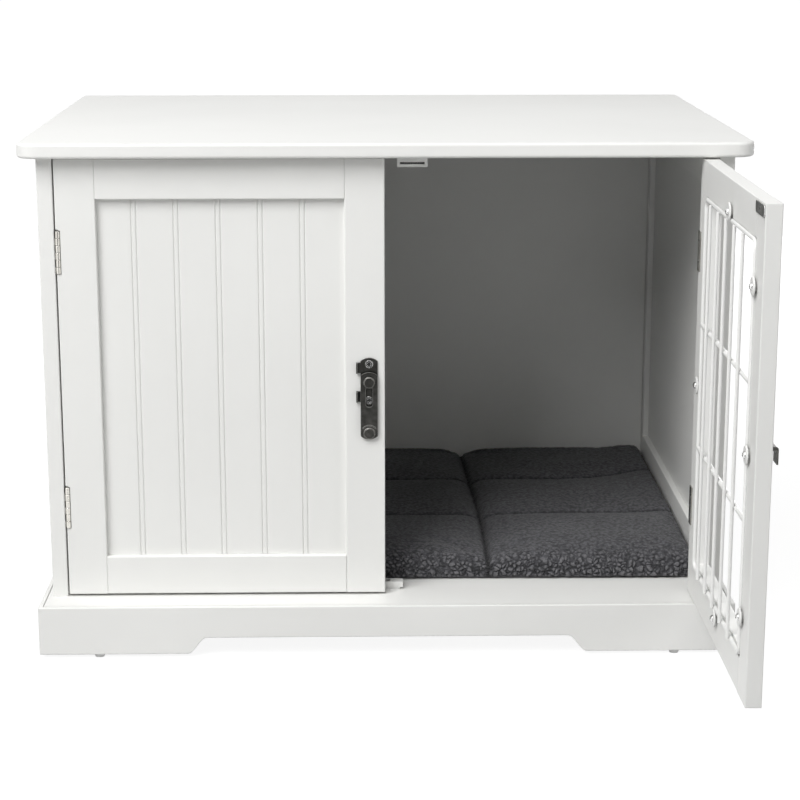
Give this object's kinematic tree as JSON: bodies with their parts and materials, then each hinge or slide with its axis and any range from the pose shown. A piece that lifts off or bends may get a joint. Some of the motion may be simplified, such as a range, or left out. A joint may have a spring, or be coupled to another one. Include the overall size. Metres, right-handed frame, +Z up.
{
  "type": "pet crate",
  "caption": "Furniture-style wooden pet crate with a flat top, a plinth, a panelled door, a wire grille door, a swing latch and a quilted cushion.",
  "frame": {"origin": "on the floor, below the middle of the top board's width and depth", "axes": "+Z up, the doors face -Y, +X to the right as seen from the front"},
  "size_m": [0.729, 0.8372, 0.5245],
  "materials": {
    "white_paint": "satin white paint",
    "white_wire": "white powder coat",
    "white_plastic": "moulded",
    "grey_plastic": "moulded",
    "nickel": "satin nickel",
    "steel": "zinc plated",
    "dark_steel": "dark antique",
    "dowel_wood": "plain",
    "grey_fleece": "curly fleece"
  },
  "bodies": {
    "crate": {"top_panel": "white_paint", "left_side_front_stile": "white_paint", "left_side_back_stile": "white_paint", "left_side_top_rail": "white_paint", "left_side_bottom_rail": "white_paint", "left_side_panel": "white_paint", "right_side_front_stile": "white_paint", "right_side_back_stile": "white_paint", "right_side_top_rail": "white_paint", "right_side_bottom_rail": "white_paint", "right_side_panel": "white_paint", "back_panel": "white_paint", "floor_panel": "white_paint", "plinth_front": "white_paint", "plinth_left": "white_paint", "plinth_right": "white_paint", "plinth_back": "white_paint", "glides": "grey_plastic", "left_upper_frame_leaf": "nickel", "left_lower_frame_leaf": "nickel", "right_upper_frame_leaf": "nickel", "right_lower_frame_leaf": "nickel", "left_hinge_pins": "nickel", "right_hinge_pins": "nickel", "frame_leaf_screws": "steel", "left_top_catch": "white_plastic", "right_top_catch": "white_plastic", "catch_screws": "steel", "bottom_door_stop": "white_plastic", "cushion": "grey_fleece", "floor_screws": "steel", "top_dowels": "dowel_wood"},
    "left_door": {"left_door_hinge_stile": "white_paint", "left_door_free_stile": "white_paint", "left_door_top_rail": "white_paint", "left_door_bottom_rail": "white_paint", "left_door_panel": "white_paint", "left_upper_door_leaf": "nickel", "left_lower_door_leaf": "nickel", "left_door_screws": "steel", "latch_base": "dark_steel", "latch_base_screws": "steel", "latch_rivet": "dark_steel", "left_strike_plate": "dark_steel"},
    "right_door": {"right_door_hinge_stile": "white_paint", "right_door_free_stile": "white_paint", "right_door_top_rail": "white_paint", "right_door_bottom_rail": "white_paint", "wire_grille": "white_wire", "grille_clips": "white_plastic", "grille_clip_screws": "steel", "right_upper_door_leaf": "nickel", "right_lower_door_leaf": "nickel", "right_door_screws": "steel", "latch_keeper": "dark_steel", "keeper_screws": "steel", "right_strike_plate": "dark_steel", "right_door_dowels": "dowel_wood"},
    "latch_bar": {"latch_bar": "dark_steel"}
  },
  "joints": [
    {"name": "left_door_hinge", "type": "hinge", "parent": "crate", "child": "left_door", "pos_m": [-0.3272, -0.247, 0.2825], "axis": [0, 0, 1], "range_deg": [-115, 0]},
    {"name": "right_door_hinge", "type": "hinge", "parent": "crate", "child": "right_door", "pos_m": [0.3272, -0.247, 0.2825], "axis": [0, 0, 1], "range_deg": [-90, 25]},
    {"name": "latch_swing", "type": "hinge", "parent": "left_door", "child": "latch_bar", "pos_m": [-0.018, -0.2506, 0.281], "axis": [0, -1, 0], "range_deg": [0, 90]}
  ]
}
